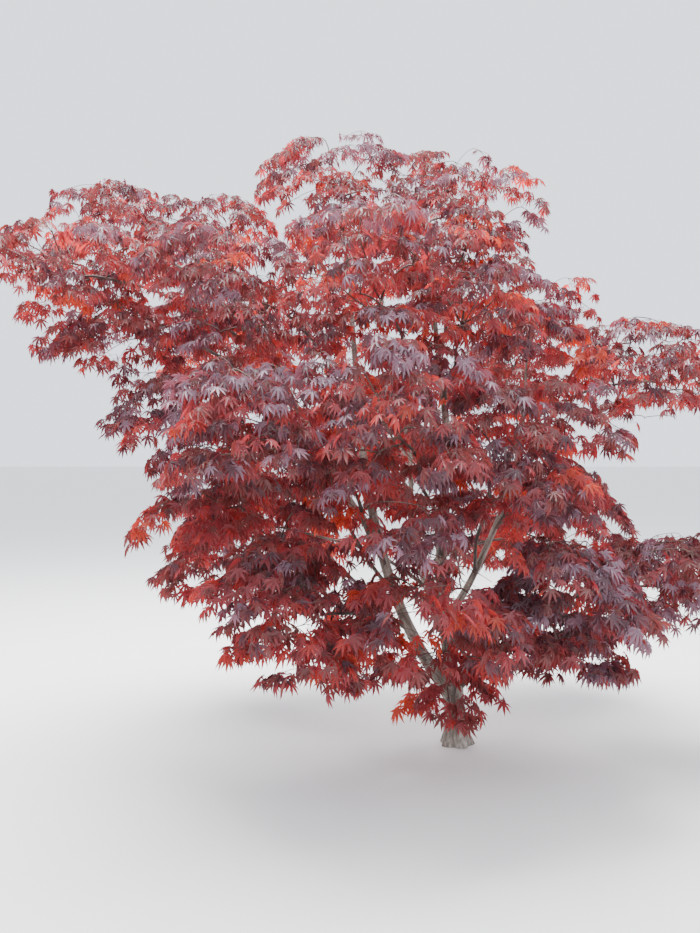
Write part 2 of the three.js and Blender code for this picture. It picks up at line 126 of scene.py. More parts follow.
# The middle lines of trunk and limbs, and how thick they are.
trunk = {
    "height": 0.3,
    "lean": -0.018,
    "footRadius": 0.088,
    "waistRadius": 0.062,
    "topRadius": 0.05,
    "flare": 0.055,  # height over which the foot draws in
    "buttresses": 5,
    "buttressDepth": 0.13,
    "buttressReach": 1.4,  # times the foot's radius
    "belowGround": 0.02,  # cut off level later
}
limb = {
    "radiusPerLoad": 0.0104,  # with one mass of leaves, and thicker by the root of their number
    "tipShare": 0.62,
    "taper": 0.85,
    "bend": 0.36,
    "intoMass": 0.62,
    "wander": 0.028,
    "turns": (2, 3.5),  # how often it sways, in half turns
    "collar": 0.3,  # swelling where it leaves its parent
    "collarFade": 2.2,  # times its root's radius
    "spacing": 0.016,
    "fineSteps": 200,  # for measuring its length
    "fewestPoints": 8,
}


def trunkAt(t):
    return np.multiply.outer(np.asarray(t, float), [trunk["lean"], 0, trunk["height"]])


class LimbLine:  # a bezier from root to tip that sways a little
    def __init__(self, root, tip, leave, arrive, seed):
        chance = chances(seed)
        span = np.linalg.norm(tip - root)
        level = unit((tip - root) * [1, 1, 0])
        bend = span * limb["bend"]
        self.handles = root, root + slope(level, leave) * bend, tip - slope(level, arrive) * bend, tip
        self.side = np.cross(upright, level)
        self.sway = span * limb["wander"] * (-1 if next(chance) < 0.5 else 1)
        self.turns = mixed(*limb["turns"], next(chance))

    def __call__(self, t):
        t = np.asarray(t, float)[..., None]
        root, rise, reach, tip = self.handles
        curve = (root * (1 - t) ** 3 + 3 * rise * t * (1 - t) ** 2
                 + 3 * reach * t * t * (1 - t) + tip * t ** 3)
        return curve + self.side * self.sway * np.sin(np.pi * t) * np.sin(np.pi * self.turns * t)


def loadOf(name):
    return sum(loadOf(child) for child, row in crown.items() if row[0] == name) + (name != "trunk")


lines = {"trunk": trunkAt}
for index, (name, (parent, share, leave, arrive, middle, halves)) in enumerate(crown.items()):
    outward, across = levelAxes(middle)
    aim = slope(outward, arrive)
    reach = 1 / np.linalg.norm([aim @ outward / halves[0], aim @ across / halves[1], aim[2] / halves[2]])
    tip = np.array(middle) - limb["intoMass"] * reach * aim
    lines[name] = LimbLine(lines[parent](share), tip, leave, arrive, index + 1)


def radiusOf(name, t):
    t = np.asarray(t, float)
    if name == "trunk":
        taper = mixed(trunk["waistRadius"], trunk["topRadius"], t)
        spread = trunk["footRadius"] - trunk["waistRadius"]
        return taper + spread * np.exp(-t * trunk["height"] / trunk["flare"])
    tipRadius = limb["radiusPerLoad"] * limb["tipShare"]
    rootRadius = limb["radiusPerLoad"] * math.sqrt(loadOf(name))
    return tipRadius + (rootRadius - tipRadius) * (1 - t) ** limb["taper"]


def lengthsAlong(points):
    return np.concatenate([[0], np.cumsum(np.linalg.norm(np.diff(points, axis=0), axis=1))])


def sampled(name, spacing):  # shares, places and lengths along a limb, evenly spaced
    fine = np.linspace(0, 1, limb["fineSteps"])
    along = lengthsAlong(lines[name](fine))
    count = max(int(along[-1] / spacing), limb["fewestPoints"])
    shares = np.interp(np.linspace(0, along[-1], count), along, fine)
    places = lines[name](shares)
    return shares, places, lengthsAlong(places)


# Bark: round limbs are drawn as curves, then made one skin with low ridges along the grain.
barkForm = {
    "voxel": 0.0046,
    "smoothing": {"factor": 0.5, "iterations": 5},
    "smoothAngle": 60,
    "bevelSteps": 4,
    "lineSpacing": 0.008,
    "limbShift": 1.7,  # from one limb's grain to the next one's
    "grainStretch": 0.13,  # of the lengths along a limb, so that ridges are long that way
    "ridges": 62,  # per metre round a limb
    "fineRidges": 2.3,  # times as many
    "lumps": 9,
    "strengths": (0.7, 0.5, 0.9),  # of ridges, fine ridges and lumps
    "ridgeDepth": 0.055,  # share of the limb's radius
    "deepest": 0.0024,
    "flatBelow": 0.002,
}
stemNames = ["trunk", "left_leader", "centre_leader", "right_leader", "back_leader", "left_high"]


def deselectAll():
    if bpy.context.object and bpy.context.object.mode != "OBJECT":
        bpy.ops.object.mode_set(mode="OBJECT")
    bpy.ops.object.select_all(action="DESELECT")


def makeActive(*objects):
    deselectAll()
    for each in objects:
        each.select_set(True)
    bpy.context.view_layer.objects.active = objects[0]


def drawLimb(name):
    shares, places, along = sampled(name, limb["spacing"])
    radii = radiusOf(name, shares)
    if name == "trunk":
        places[0, 2] -= trunk["belowGround"]
    else:
        parent, share = crown[name][:2]
        outside = np.maximum(along - radiusOf(parent, share), 0)
        radii = radii * (1 + limb["collar"] * np.exp(-outside / (limb["collarFade"] * radii[0])))
    bpy.ops.curve.primitive_nurbs_path_add(location=(0, 0, 0))
    drawn = bpy.context.object
    drawn.name = name
    curve = drawn.data
    curve.splines.clear()
    spline = curve.splines.new("POLY")
    spline.points.add(len(places) - 1)
    spline.points.foreach_set("co", np.column_stack([places, np.ones(len(places))]).ravel())
    spline.points.foreach_set("radius", radii)
    curve.bevel_depth = 1
    curve.bevel_resolution = barkForm["bevelSteps"]
    curve.use_fill_caps = True
    return drawn


def joinLimbs(names, title):
    drawn = [drawLimb(name) for name in names]
    makeActive(*drawn)
    bpy.ops.object.convert(target="MESH")
    bpy.ops.object.join()
    piece = bpy.context.object
    piece.name = piece.data.name = title
    return piece


def placesOf(mesh):
    places = np.empty(len(mesh.vertices) * 3, np.float32)
    mesh.vertices.foreach_get("co", places)
    return places.reshape(-1, 3).astype(float)


def setPlaces(mesh, places):
    mesh.vertices.foreach_set("co", places.astype(np.float32).ravel())


def carveBark(piece, names):
    # Each point's place round and along its nearest limb, kept for the bark's colour too.
    centres, tangents, alongs, radii, shifts = [], [], [], [], []
    for index, name in enumerate(names):
        shares, places, along = sampled(name, barkForm["lineSpacing"])
        centres.append(places)
        tangents.append(unit(np.gradient(places, axis=0)))
        alongs.append(along)
        radii.append(radiusOf(name, shares))
        shifts.append(np.full(len(places), index * barkForm["limbShift"]))
    centres, tangents = np.concatenate(centres), np.concatenate(tangents)
    alongs, radii, shifts = np.concatenate(alongs), np.concatenate(radii), np.concatenate(shifts)
    tree = kdtree.KDTree(len(centres))
    for i, centre in enumerate(centres):
        tree.insert(centre, i)
    tree.balance()
    points = placesOf(piece.data)
    nearest = np.array([tree.find(point)[1] for point in points])
    offset = points - centres[nearest]
    tangent = tangents[nearest]
    turn = np.stack([tangent[:, 1], -tangent[:, 0], np.zeros(len(points))], 1)  # turns the limb upright
    once = np.cross(turn, offset)
    level = offset + once + np.cross(turn, once) / (1 + tangent[:, 2:3])
    grain = level.copy()
    grain[:, 0] += shifts[nearest]
    grain[:, 2] += alongs[nearest] * barkForm["grainStretch"]
    normals = np.empty(len(points) * 3, np.float32)
    piece.data.vertices.foreach_get("normal", normals)
    depth = np.minimum(radii[nearest] * barkForm["ridgeDepth"], barkForm["deepest"])
    ridges, fineRidges, lumps = barkForm["strengths"]
    relief = np.array([
        ridges * noise.noise(Vector(spot) * barkForm["ridges"])
        + fineRidges * noise.noise(Vector(spot) * barkForm["ridges"] * barkForm["fineRidges"])
        + lumps * noise.noise(Vector(place) * barkForm["lumps"])
        for spot, place in zip(grain, points)
    ])
    points += normals.reshape(-1, 3) * (relief * depth)[:, None]
    points[:, 2] = np.where(points[:, 2] < barkForm["flatBelow"], 0, points[:, 2])
    setPlaces(piece.data, points)
    kept = piece.data.attributes.new("grain", "FLOAT_VECTOR", "POINT")
    kept.data.foreach_set("vector", grain.astype(np.float32).ravel())
    piece.data.update()


def buttress(piece):  # the foot spreads into low ribs
    points = placesOf(piece.data)
    spread = np.exp(-np.maximum(points[:, 2], 0) / trunk["flare"])
    angle = np.arctan2(points[:, 1], points[:, 0])
    near = np.hypot(points[:, 0], points[:, 1]) < trunk["buttressReach"] * trunk["footRadius"]
    ribs = 1 + near * trunk["buttressDepth"] * spread * np.cos(trunk["buttresses"] * angle)
    points[:, :2] *= ribs[:, None]
    setPlaces(piece.data, points)


def makeStems():
    piece = joinLimbs(stemNames, "stemsBark")
    makeActive(piece)
    for kind, settings in (
        ("REMESH", {"mode": "VOXEL", "voxel_size": barkForm["voxel"]}),
        ("SMOOTH", barkForm["smoothing"]),
    ):
        modifier = piece.modifiers.new(kind.title(), kind)
        for setting, value in settings.items():
            setattr(modifier, setting, value)
        bpy.ops.object.modifier_apply(modifier=modifier.name)
    buttress(piece)
    bpy.ops.object.mode_set(mode="EDIT")
    bpy.ops.mesh.select_all(action="SELECT")
    bpy.ops.mesh.bisect(plane_co=(0, 0, 0), plane_no=(0, 0, 1), clear_inner=True, use_fill=True)
    bpy.ops.object.mode_set(mode="OBJECT")
    carveBark(piece, stemNames)
    bpy.ops.object.shade_smooth_by_angle(angle=math.radians(barkForm["smoothAngle"]))
    return piece


def makeBoughs():
    names = [name for name in crown if name not in stemNames]
    piece = joinLimbs(names, "boughsShadedBark")
    carveBark(piece, names)
    makeActive(piece)
    bpy.ops.object.shade_smooth_by_angle(angle=math.radians(barkForm["smoothAngle"]))
    return piece


stems = makeStems()
boughs = makeBoughs()
print("bark done", len(stems.data.polygons), len(boughs.data.polygons))

# Foliage: sprays stand in tiers over each mass, each on a twig from its stem or an earlier twig.
foliage = {
    "seed": 700,
    "sprays": 43,  # in a mass of ordinary size
    "ordinarySize": 0.43,
    "open": {  # masses with fewer sprays for their size
        "right_mid": 0.8, "right_leader": 0.8, "back_right_high": 0.85,
        "left_mid": 0.85, "left_low": 0.88, "left_low_mid": 0.85},
    "spread": 0.85,
    "spreadLuck": (0.84, 1.14),
    "setBack": 0.06,  # a spray's root from its middle
    "tiers": (0.82, 0.42, -0.04, -0.52),  # heights over the mass's middle, as shares of its half-thickness
    "padShape": 3,  # 2 keeps leaves in a round dome, more in a flatter pad
    "domeFall": 0.42,
    "uneven": 0.42,
    "tilt": 0.3,
    "fewest": 3,  # leaves on a spray, which is left out with fewer
    "lowest": -0.74,
    "highest": 0.86,
    "innerFall": 0.1,
    "outerFall": 0.7,
    "fallLuck": 0.4,
    "lean": 0.25,  # of all sprays away from the trunk
    "stemReach": 0.95,  # share of the way to the mass's middle
    "stemDrop": 0.1,  # of the half-thickness, under the middle
    "stemArch": 0.02,
    "stemJoints": (0.3, 0.5, 0.7, 0.9),
    "twigJoints": (0.4, 0.8),
    "twigLead": 0.28,  # how straight a twig runs into its spray
    "twigLift": 0.05,
    "twigPoints": 6,
    "twigSides": 4,
    "twigRadius": 0.00135,  # and thicker by the root of the number of sprays it carries
    "pathCost": 0.35,  # how much a twig minds a long way back to the stem
}
# A spray: a main shoot with one on each side, all leafy.
spray = {
    "shoots": (0.125, 0.085, 0.085),
    "shootTurns": (0, 52, -52),  # degrees
    "turnLuck": (20, 10, 10),
    "shootLuck": (0.8, 1.2),
    "roll": 0.5,
    "sag": 0.16,
    "taper": (0.95, 0.5),  # of a twig's radius
    "shootSides": 3,
    "leafTurnLuck": 26,  # degrees
    "leafLift": 0.5,
    "leafTilt": 0.7,
    "leafFall": 0.05,
}
# Short leafy shoots on the outer part of each bough, inside the crown.
innerShoots = {
    "bare": 0.36,  # share of a bough
    "spacing": 0.085,
    "length": (0.06, 0.2),
    "turn": 62,
    "rise": (-0.15, 0.75),
    "kept": 0.4,  # share of its own rise that a shoot hands on to its spray
    "fall": 0.3,
    "arch": 0.012,
    "thicker": 1.4,  # at its root
    "lineSpacing": 0.01,
    "spacingLuck": 0.6,
    "denser": 0.5,
    # boughs that are leafy from nearer their root, and how much lower their shoots hang
    "leafier": {"front_left_low": (0.08, -0.75), "front_low": (0.2, -0.4), "left_low": (0.2, -0.4)},
}
# Where leaves stand on a spray: which shoot, how far along it, and degrees turned from it.
leafPlaces = [(0, 0.3, 62), (0, 0.3, -62), (0, 0.66, 58), (0, 0.66, -58)]
leafPlaces += [(0, 1, 50), (0, 1, -50), (0, 1, 0)]
leafPlaces += [(shoot, along, turn) for shoot in (1, 2)
               for along, turn in ((0.5, 60), (0.5, -60), (1, 50), (1, -50), (1, 0))]
leaf = {
    "size": (0.069, 0.051),  # along its middle lobe, near the ground and at the top, in full light
    "sizeHeights": (0.6, 2.7),
    "smallest": 0.74,
    "largest": 1.14,
    "ragged": 0.12,
    "stalk": 0.03,
    "stalkLuck": 0.7,
    "stalkSides": 3,
    "stalkRadii": (0.0009, 0.0007),
    "stalkInside": 0.03,  # share of its length that runs on into the blade
    "droop": (26, 74),  # degrees
    "curl": (0.14, 0.55),
    "closing": (0.72, 1.0),
    "fold": 0.05,
    "lobes": ((-116, 0.4), (-74, 0.76), (-36, 0.94), (0, 1), (36, 0.94), (74, 0.76), (116, 0.4)),
    "notch": 0.27,
    "backNotch": 0.12,
    "backTurn": 38,  # from the last lobe to the notch at the stalk
    "smallLobe": 0.5,  # shorter lobes are plain points
    "widestAt": 0.55,
    "halfWidth": 12.5,  # degrees
    "heart": 0.5,  # share of the size to a leaf's middle, which stays clear of the limbs
    "limbRoom": 0.012,
    "groundRoom": 0.01,
}


def inSpace(name, points):
    middle, halves = spaces[name]
    outward, across = levelAxes(middle)
    offset = points - middle
    level = np.hypot(offset @ outward / halves[0], offset @ across / halves[1])
    power = foliage["padShape"]
    return level ** power + np.abs(offset[..., 2] / halves[2]) ** power <= 1


def extentAlong(name, direction):
    middle, halves = spaces[name]
    outward, across = levelAxes(middle)
    return np.linalg.norm(np.array([direction @ outward, direction @ across, direction[2]]) * halves)


def onOwnSide(name, points):  # of the planes between a mass and each other one
    middle = spaces[name][0]
    kept = np.ones(points.shape[:-1], bool)
    for other, (place, halves) in spaces.items():
        if other == name:
            continue
        apart = place - middle
        distance = np.linalg.norm(apart)
        apart = apart / distance
        mine, theirs = extentAlong(name, apart), extentAlong(other, apart)
        if mine + theirs >= distance:
            kept &= (points - middle) @ apart < distance * mine / (mine + theirs)
    return kept


def growMass(name, root, rng):
    middle, (long, wide, thick) = spaces[name]
    outward, across = levelAxes(middle)
    sprays = foliage["sprays"] * foliage["open"].get(name, 1)
    count = round(sprays * long * wide / foliage["ordinarySize"] ** 2)
    number = np.arange(count)
    out = np.sqrt((number + 0.5) / count)
    angle = (count - 1 - number) * goldenAngle  # the outermost one points away from the trunk
    tier = number % len(foliage["tiers"])
    rise = np.array(foliage["tiers"])[tier] * np.sqrt(1 - foliage["domeFall"] * out ** 2)
    rise += foliage["uneven"] * (rng.random(count) - 0.5)
    rise += foliage["tilt"] * out * np.cos(angle - 2 * math.pi * rng.random())
    rise = np.clip(rise, foliage["lowest"], foliage["highest"])
    reach = foliage["spread"] * out * mixed(*foliage["spreadLuck"], rng.random(count))
    hubs = (middle + np.multiply.outer(long * reach * np.cos(angle), outward)
            + np.multiply.outer(wide * reach * np.sin(angle), across)
            + np.multiply.outer(thick * rise, upright))
    fall = mixed(foliage["innerFall"], foliage["outerFall"], out ** 2)
    level = unit(np.multiply.outer(np.cos(angle) + foliage["lean"], outward)
                 + np.multiply.outer(np.sin(angle), across))
    pitch = foliage["fallLuck"] * (rng.random(count) - 0.5) - fall
    forward = unit(level + np.multiply.outer(pitch, upright))
    hubs = hubs - forward * foliage["setBack"]
    order = np.argsort(np.linalg.norm(hubs - root, axis=1))
    order = order[inSpace(name, hubs[order])]
    hubs, forward, tier = hubs[order], forward[order], tier[order]

    # The mass's own stem, then a twig to each spray from whichever joint is nearest.
    heart = mixed(root, middle - [0, 0, foliage["stemDrop"] * thick], foliage["stemReach"])
    steps = np.linspace(0, 1, foliage["twigPoints"])
    shares = steps[:, None]
    twigs = [root + (heart - root) * shares + upright * foliage["stemArch"] * np.sin(np.pi * shares)]
    stemLength = np.linalg.norm(heart - root)
    joints = [(mixed(root, heart, s), s * stemLength, 0, s) for s in foliage["stemJoints"]]
    parents = [(None, 0)]
    for hub, ahead in zip(hubs, forward):
        costs = [np.linalg.norm(place - hub) + foliage["pathCost"] * path for place, path, _, _ in joints]
        place, path, parent, share = joints[int(np.argmin(costs))]
        length = np.linalg.norm(hub - place)
        turn = hub - ahead * foliage["twigLead"] * length + upright * foliage["twigLift"] * length
        twig = place * (1 - shares) ** 2 + 2 * turn * shares * (1 - shares) + hub * shares ** 2
        twigs.append(twig)
        parents.append((parent, share))
        for s in foliage["twigJoints"]:
            joints.append((twig[round(s * (len(steps) - 1))], path + s * length, len(twigs) - 1, s))

    # How many sprays each twig carries beyond each of its points.
    loads = np.ones(len(twigs))
    for i in range(len(twigs) - 1, 0, -1):
        loads[parents[i][0]] += loads[i]
    carried = np.ones((len(twigs), len(steps)))
    for i, (parent, share) in enumerate(parents[1:], 1):
        carried[parent] += loads[i] * (steps <= share + 0.01)  # a little more, for rounding
    radii = np.minimum(foliage["twigRadius"] * np.sqrt(carried), limb["radiusPerLoad"] * limb["tipShare"])
    return np.array(twigs), radii, hubs, forward, tier, loads[1:] > 1


def growInnerShoots(name, rng):
    shares, places, along = sampled(name, innerShoots["lineSpacing"])
    tangents = unit(np.gradient(places, axis=0))
    bare, lower = innerShoots["leafier"].get(name, (innerShoots["bare"], 0))
    spacing = innerShoots["spacing"] * (1 + innerShoots["denser"] * lower)
    at = np.arange(bare * along[-1], along[-1], spacing)
    count = len(at)
    at = at + innerShoots["spacing"] * innerShoots["spacingLuck"] * (rng.random(count) - 0.5)
    spot, tangent = (np.stack([np.interp(at, along, column) for column in array.T], 1)
                     for array in (places, tangents))
    sides = np.where(np.arange(count) % 2, 1, -1)
    aside = unit(np.cross(upright, tangent)) * sides[:, None]
    turn = math.radians(innerShoots["turn"])
    rise = mixed(*innerShoots["rise"], rng.random(count)) + lower
    away = unit(tangent * math.cos(turn) + aside * math.sin(turn) + np.multiply.outer(rise, upright))
    length = mixed(*innerShoots["length"], rng.random(count))[:, None]
    hubs = spot + away * length
    steps = np.linspace(0, 1, foliage["twigPoints"])[:, None]
    twigs = (spot[:, None] + away[:, None] * length[:, None] * steps
             + upright * innerShoots["arch"] * np.sin(np.pi * steps))
    radii = foliage["twigRadius"] * np.tile(np.linspace(innerShoots["thicker"], 1, len(steps)), (count, 1))
    forward = unit(away * [1, 1, innerShoots["kept"]] - upright * innerShoots["fall"])
    return twigs, radii, hubs, forward


def growSprays(hubs, forward, rng):
    count = len(hubs)
    roll = spray["roll"] * (rng.random(count) - 0.5)
    left = unit(unit(np.cross(upright, forward)) + np.multiply.outer(roll, upright))
    up = np.cross(forward, left)
    turns = np.radians(spray["shootTurns"] + (rng.random((count, 3)) - 0.5) * spray["turnLuck"])
    lengths = np.array(spray["shoots"]) * mixed(*spray["shootLuck"], rng.random((count, 3)))
    ahead = forward[:, None] * np.cos(turns)[..., None] + left[:, None] * np.sin(turns)[..., None]
    aside = np.cross(up[:, None], ahead)

    def alongShoots(shoot, along):  # a place on one of each spray's shoots, which sag towards their ends
        return (hubs[:, None] + ahead[:, shoot] * (lengths[:, shoot] * along)[..., None]
                - up[:, None] * (spray["sag"] * lengths[:, shoot] * along ** 2)[..., None])

    shoot, along, turn = (np.array(column) for column in zip(*leafPlaces))
    luck = rng.random((count, len(leafPlaces), 6)) - 0.5
    turnLuck, liftLuck, stalkLuck, droopLuck, tiltLuck, sizeLuck = np.split(luck, 6, axis=-1)
    spot = alongShoots(shoot, along)
    turn = np.radians(turn[:, None] + spray["leafTurnLuck"] * turnLuck)
    away = (ahead[:, shoot] * np.cos(turn) + aside[:, shoot] * np.sin(turn)
            + up[:, None] * (spray["leafLift"] * liftLuck))
    away = unit(away + upright * (spray["leafTilt"] * tiltLuck - spray["leafFall"]))
    base = spot + away * (leaf["stalk"] * (1 + leaf["stalkLuck"] * stalkLuck))
    droop = np.radians(mixed(*leaf["droop"], droopLuck + 0.5))
    flat = unit(away * [1, 1, 0])
    leafAhead = flat * np.cos(droop) - upright * np.sin(droop)
    leafLeft = unit(np.cross(upright, flat) + upright * (spray["leafTilt"] * tiltLuck))
    leafAhead = unit(leafAhead - leafLeft * np.sum(leafAhead * leafLeft, -1, keepdims=True))
    size = np.interp(base[..., 2], leaf["sizeHeights"], leaf["size"])
    size *= mixed(leaf["smallest"], leaf["largest"], sizeLuck[..., 0] + 0.5)
    return alongShoots, spot, base, leafAhead, leafLeft, size


def leafShape():  # polar outline round the hub, how far each point is lifted, and the triangles
    lobes = leaf["lobes"]
    firstTurn, lastTurn = lobes[0][0], lobes[-1][0]
    notches = [(firstTurn - leaf["backTurn"], leaf["backNotch"])]
    for (turn, reach), (nextTurn, nextReach) in zip(lobes, lobes[1:]):
        notches += [((turn + nextTurn) / 2, leaf["notch"] * (reach + nextReach) / 2)]
    notches += [(lastTurn + leaf["backTurn"], leaf["backNotch"])]
    corners = [(0, 0, 0)] + [(turn, reach, 1) for turn, reach in notches]
    triangles = []
    for i, (turn, reach) in enumerate(lobes):
        first = len(corners)
        before, after = 1 + i, 2 + i
        if reach < leaf["smallLobe"]:
            corners += [(turn, reach, 0)]
            triangles += [(0, before, first), (0, first, after)]
            continue
        widest = reach * leaf["widestAt"]
        halfWidth = leaf["halfWidth"]
        corners += [(turn - halfWidth, widest, 1), (turn, reach, 0), (turn + halfWidth, widest, 1)]
        right, tip, left = range(first, first + 3)
        triangles += [(0, before, right), (0, right, tip), (0, tip, left), (0, left, after)]
    return np.array(corners, float), np.array(triangles)


outline, leafFaces = leafShape()


def leafPoints(base, ahead, left, size, rng):
    count = len(base)
    curl = mixed(*leaf["curl"], rng.random(count))[:, None]
    closing = mixed(*leaf["closing"], rng.random(count))[:, None]
    turn, reach, lift = np.radians(outline[:, 0]) * closing, outline[:, 1], outline[:, 2]
    reach = reach * (1 + leaf["ragged"] * (rng.random((count, len(outline))) - 0.5))
    height = leaf["fold"] * lift - curl * reach ** 2
    up = np.cross(ahead, left)
    x, y = reach * np.cos(turn), reach * np.sin(turn)
    shape = x[..., None] * ahead[:, None] + y[..., None] * left[:, None] + height[..., None] * up[:, None]
    return base[:, None] + size[:, None, None] * shape


def tubes(paths, radii, sides):  # closed tubes along paths of a like number of points
    count, rings = radii.shape
    along = unit(np.gradient(paths, axis=1))
    helper = np.where(np.abs(along[..., 2:3]) < 0.9, upright, [1.0, 0, 0])  # never nearly along the path
    across = unit(np.cross(along, helper))
    other = np.cross(along, across)
    angles = np.arange(sides) * 2 * math.pi / sides
    ring = across[:, :, None] * np.cos(angles)[:, None] + other[:, :, None] * np.sin(angles)[:, None]
    points = (paths[:, :, None] + ring * radii[:, :, None, None]).reshape(-1, 3)
    faces = []
    for step in range(rings - 1):
        for side in range(sides):
            a, b = step * sides + side, step * sides + (side + 1) % sides
            faces += [(a, b, b + sides), (a, b + sides, a + sides)]
    last = (rings - 1) * sides
    for side in range(1, sides - 1):
        faces += [(0, side + 1, side), (last, last + side, last + side + 1)]
    starts = np.arange(count)[:, None, None] * rings * sides
    return points, (np.array(faces) + starts).reshape(-1, 3)


def stacked(parts):
    points, faces, start = [], [], 0
    for somePoints, someFaces in parts:
        points.append(somePoints)
        faces.append(someFaces + start)
        start += len(somePoints)
    return np.concatenate(points), np.concatenate(faces)


def makePiece(title, points, faces):
    mesh = bpy.data.meshes.new(title)
    mesh.from_pydata(points, [], faces)
    mesh.shade_smooth()
    piece = bpy.data.objects.new(title, mesh)
    bpy.context.collection.objects.link(piece)
    return piece


# What leaves keep clear of: the limbs, and the ways from a few places on them to the camera.
limbSteps = 0.03
limbSpots = np.concatenate([sampled(name, limbSteps)[1] for name in lines])
limbRadii = np.concatenate([radiusOf(name, sampled(name, limbSteps)[0]) for name in lines])
view = {  # the camera of the photo
    "place": (-0.544, -4.8, 1.5),
    "focal": 944,  # pixels
    "imageHeight": 933,
    "horizon": 450,
    "sensor": 36,  # millimetres
}
glimpses = {  # shares along a limb that show between the leaves from there, and half the gap's width
    "trunk": ((0.85, 0.05),),
    "left_leader": (
        (0.05, 0.05), (0.1, 0.065), (0.17, 0.05), (0.21, 0.065), (0.31, 0.05),
        (0.43, 0.04), (0.56, 0.035), (0.78, 0.045), (0.83, 0.035)),
    "right_leader": ((0.12, 0.05), (0.19, 0.07), (0.27, 0.07), (0.35, 0.06), (0.43, 0.04)),
    "centre_leader": ((0.3, 0.045), (0.62, 0.045), (0.67, 0.035), (0.82, 0.045)),
}
limbFront = 0.03  # leaves nearer than this to the middle of a limb aren't in front of it
sightSpots = np.array([lines[name](share) for name, gaps in glimpses.items() for share, _ in gaps])
sightWidths = np.array([width for gaps in glimpses.values() for _, width in gaps])
sightWays = unit(np.array(view["place"]) - sightSpots)


def clearOfLimbs(points, room):
    apart = np.linalg.norm(points[:, None] - limbSpots, axis=-1) - limbRadii
    return apart.min(axis=1) > room


def clearOfSight(points):
    apart = points[:, None] - sightSpots
    nearer = np.sum(apart * sightWays, -1)
    beside = np.linalg.norm(apart - nearer[..., None] * sightWays, axis=-1)
    return ((nearer < limbFront) | (beside > sightWidths)).all(axis=1)


# Colours, from the coolest to the warmest, with each one's share of a mass's four tiers, from the top
# down, and of the inner shoots. The shares are painted light: the sprays on top are mostly plum and mauve,
# lit tops with a painted sheen, and those under them and on the inner shoots redder, a painted glow of
# light shining through from above.
tints = {
    # Mauve is a painted highlight: the lilac sheen of the bright sky on the leaves' tops.
    "leavesMauve": {
        "slot": "leaf_purple", "face": (0.21, 0.142, 0.182), "through": (0.42, 0.06, 0.078),
        "glow": 0.32, "shares": (6, 3.5, 2, 1.5, 0.4)},
    "leavesPlum": {
        "slot": "leaf_purple", "face": (0.068, 0.034, 0.045), "through": (0.32, 0.038, 0.045),
        "glow": 0.36, "shares": (7, 7, 6, 4, 1.5)},
    "leavesWine": {
        "slot": "leaf_burgundy", "face": (0.122, 0.047, 0.046), "through": (0.44, 0.052, 0.045),
        "glow": 0.42, "shares": (5, 6.5, 6.5, 6.5, 4.5)},
    "leavesCrimson": {
        "slot": "leaf_crimson", "face": (0.175, 0.05, 0.057), "through": (0.6, 0.05, 0.056),
        "glow": 0.5, "shares": (2.5, 3.5, 4.5, 5, 6)},
    # Scarlet and ember are leaf reds made bright as a painted glow of light shining through the leaves.
    "leavesScarlet": {
        "slot": "leaf_scarlet", "face": (0.23, 0.052, 0.049), "through": (0.78, 0.06, 0.05),
        "glow": 0.56, "shares": (0.8, 1, 1.3, 1.8, 4.5)},
    "leavesEmber": {
        "slot": "leaf_scarlet", "face": (0.265, 0.06, 0.042), "through": (0.9, 0.092, 0.042),
        "glow": 0.6, "shares": (0, 0.05, 0.2, 0.4, 2.5)},
}
# How much more or less of each tint goes to masses in the shade of others, and to those with the
# light behind.
casts = {
    ("front_low", "front_left_low", "left_low", "foot_front", "back_left_low", "back_right_low"):
        (0.05, 0.45, 1.5, 1.4, 0.9, 0.5),
    ("right_leader", "right_mid", "top_right", "front_right_high", "left_tip", "left_high"):
        (0.5, 0.75, 1, 1.25, 1.8, 2),
    # The low masses on the right get more mauve, a painted sheen that lightens them against the shade of
    # the masses above.
    ("front_right_low", "right_foot", "right_low"): (1.2, 0.9, 1.5, 1.1, 0.7, 0.4),
    ("front_right_mid",): (0.6, 1, 1.4, 1.1, 0.7, 0.5),
}
neighbourTint = (0.22, 0.22)  # chance that a leaf is one tint cooler or warmer than its spray


def leafyShoots(alongShoots, kept):  # each shoot as far as its last leaf
    parts = []
    steps = (0, 1 / 3, 2 / 3, 1)
    thin = foliage["twigRadius"] * np.linspace(*spray["taper"], len(steps))
    for shoot in range(len(spray["shoots"])):
        own = np.array([place[1] if place[0] == shoot else 0 for place in leafPlaces])
        ends = (kept * own).max(axis=1)
        path = np.concatenate([alongShoots([shoot], (ends * step)[:, None]) for step in steps], axis=1)
        radii = np.tile(thin, ((ends > 0).sum(), 1))
        parts.append(tubes(path[ends > 0], radii, spray["shootSides"]))
    return stacked(parts)


beyondPacked = 0.025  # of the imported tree's sides, how far single leaf tips may stand out
lowest, highest = (corner + sign * beyondPacked * (np.array(packedBox[1]) - packedBox[0])
                   for corner, sign in zip(np.array(packedBox), (-1, 1)))


def dealTints(name, tiers, rng):
    shares = np.array([look["shares"] for look in tints.values()], float)
    for names, cast in casts.items():
        if name in names:
            shares *= np.array([cast]).T
    return np.array([rng.choice(len(tints), p=shares[:, t] / shares[:, t].sum()) for t in tiers])


